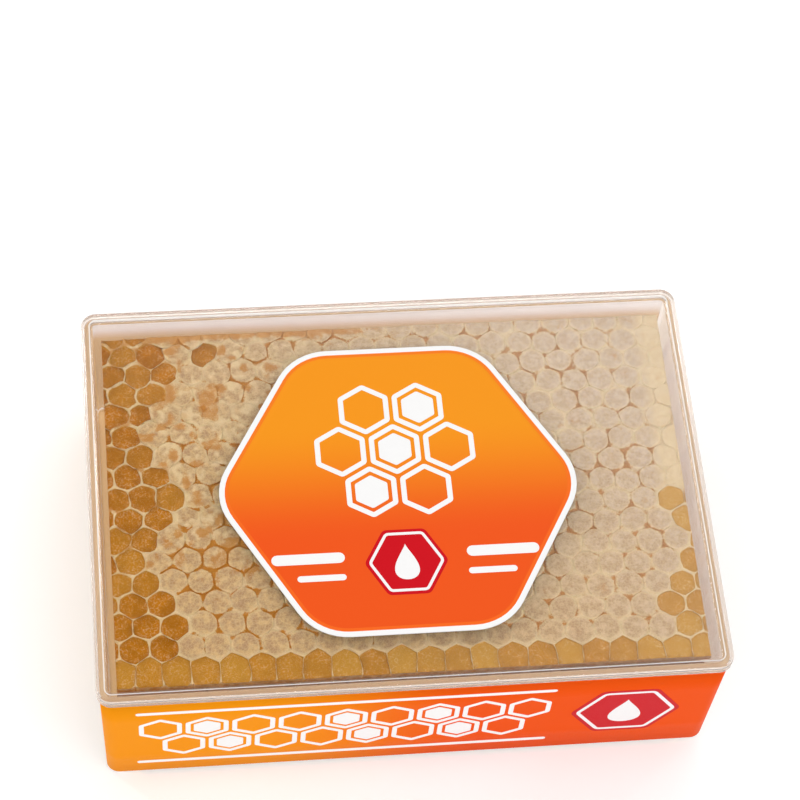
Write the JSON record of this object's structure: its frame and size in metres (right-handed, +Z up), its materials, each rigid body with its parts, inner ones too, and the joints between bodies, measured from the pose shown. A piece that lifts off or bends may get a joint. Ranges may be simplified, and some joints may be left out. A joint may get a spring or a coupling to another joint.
{
  "type": "comb honey in a clear box",
  "caption": "Slab of capped honeycomb shut in a low clear plastic box, with an orange plaque label on its lid and an orange band label round its front wall.",
  "frame": {"origin": "centre of the box's footprint, on the surface it stands on", "axes": "+X along the width to the right, -Y towards the labelled front wall, +Z up through the lid"},
  "size_m": [0.128, 0.091, 0.0375],
  "materials": {
    "clear_plastic": "clear and glossy",
    "comb": "pale wax caps over amber honey, waxy",
    "label_print": "printed film, satin"
  },
  "bodies": {
    "root": {"tub": "clear_plastic", "lid": "clear_plastic", "comb": "comb", "front_label": "label_print", "lid_label": "label_print"}
  },
  "joints": []
}
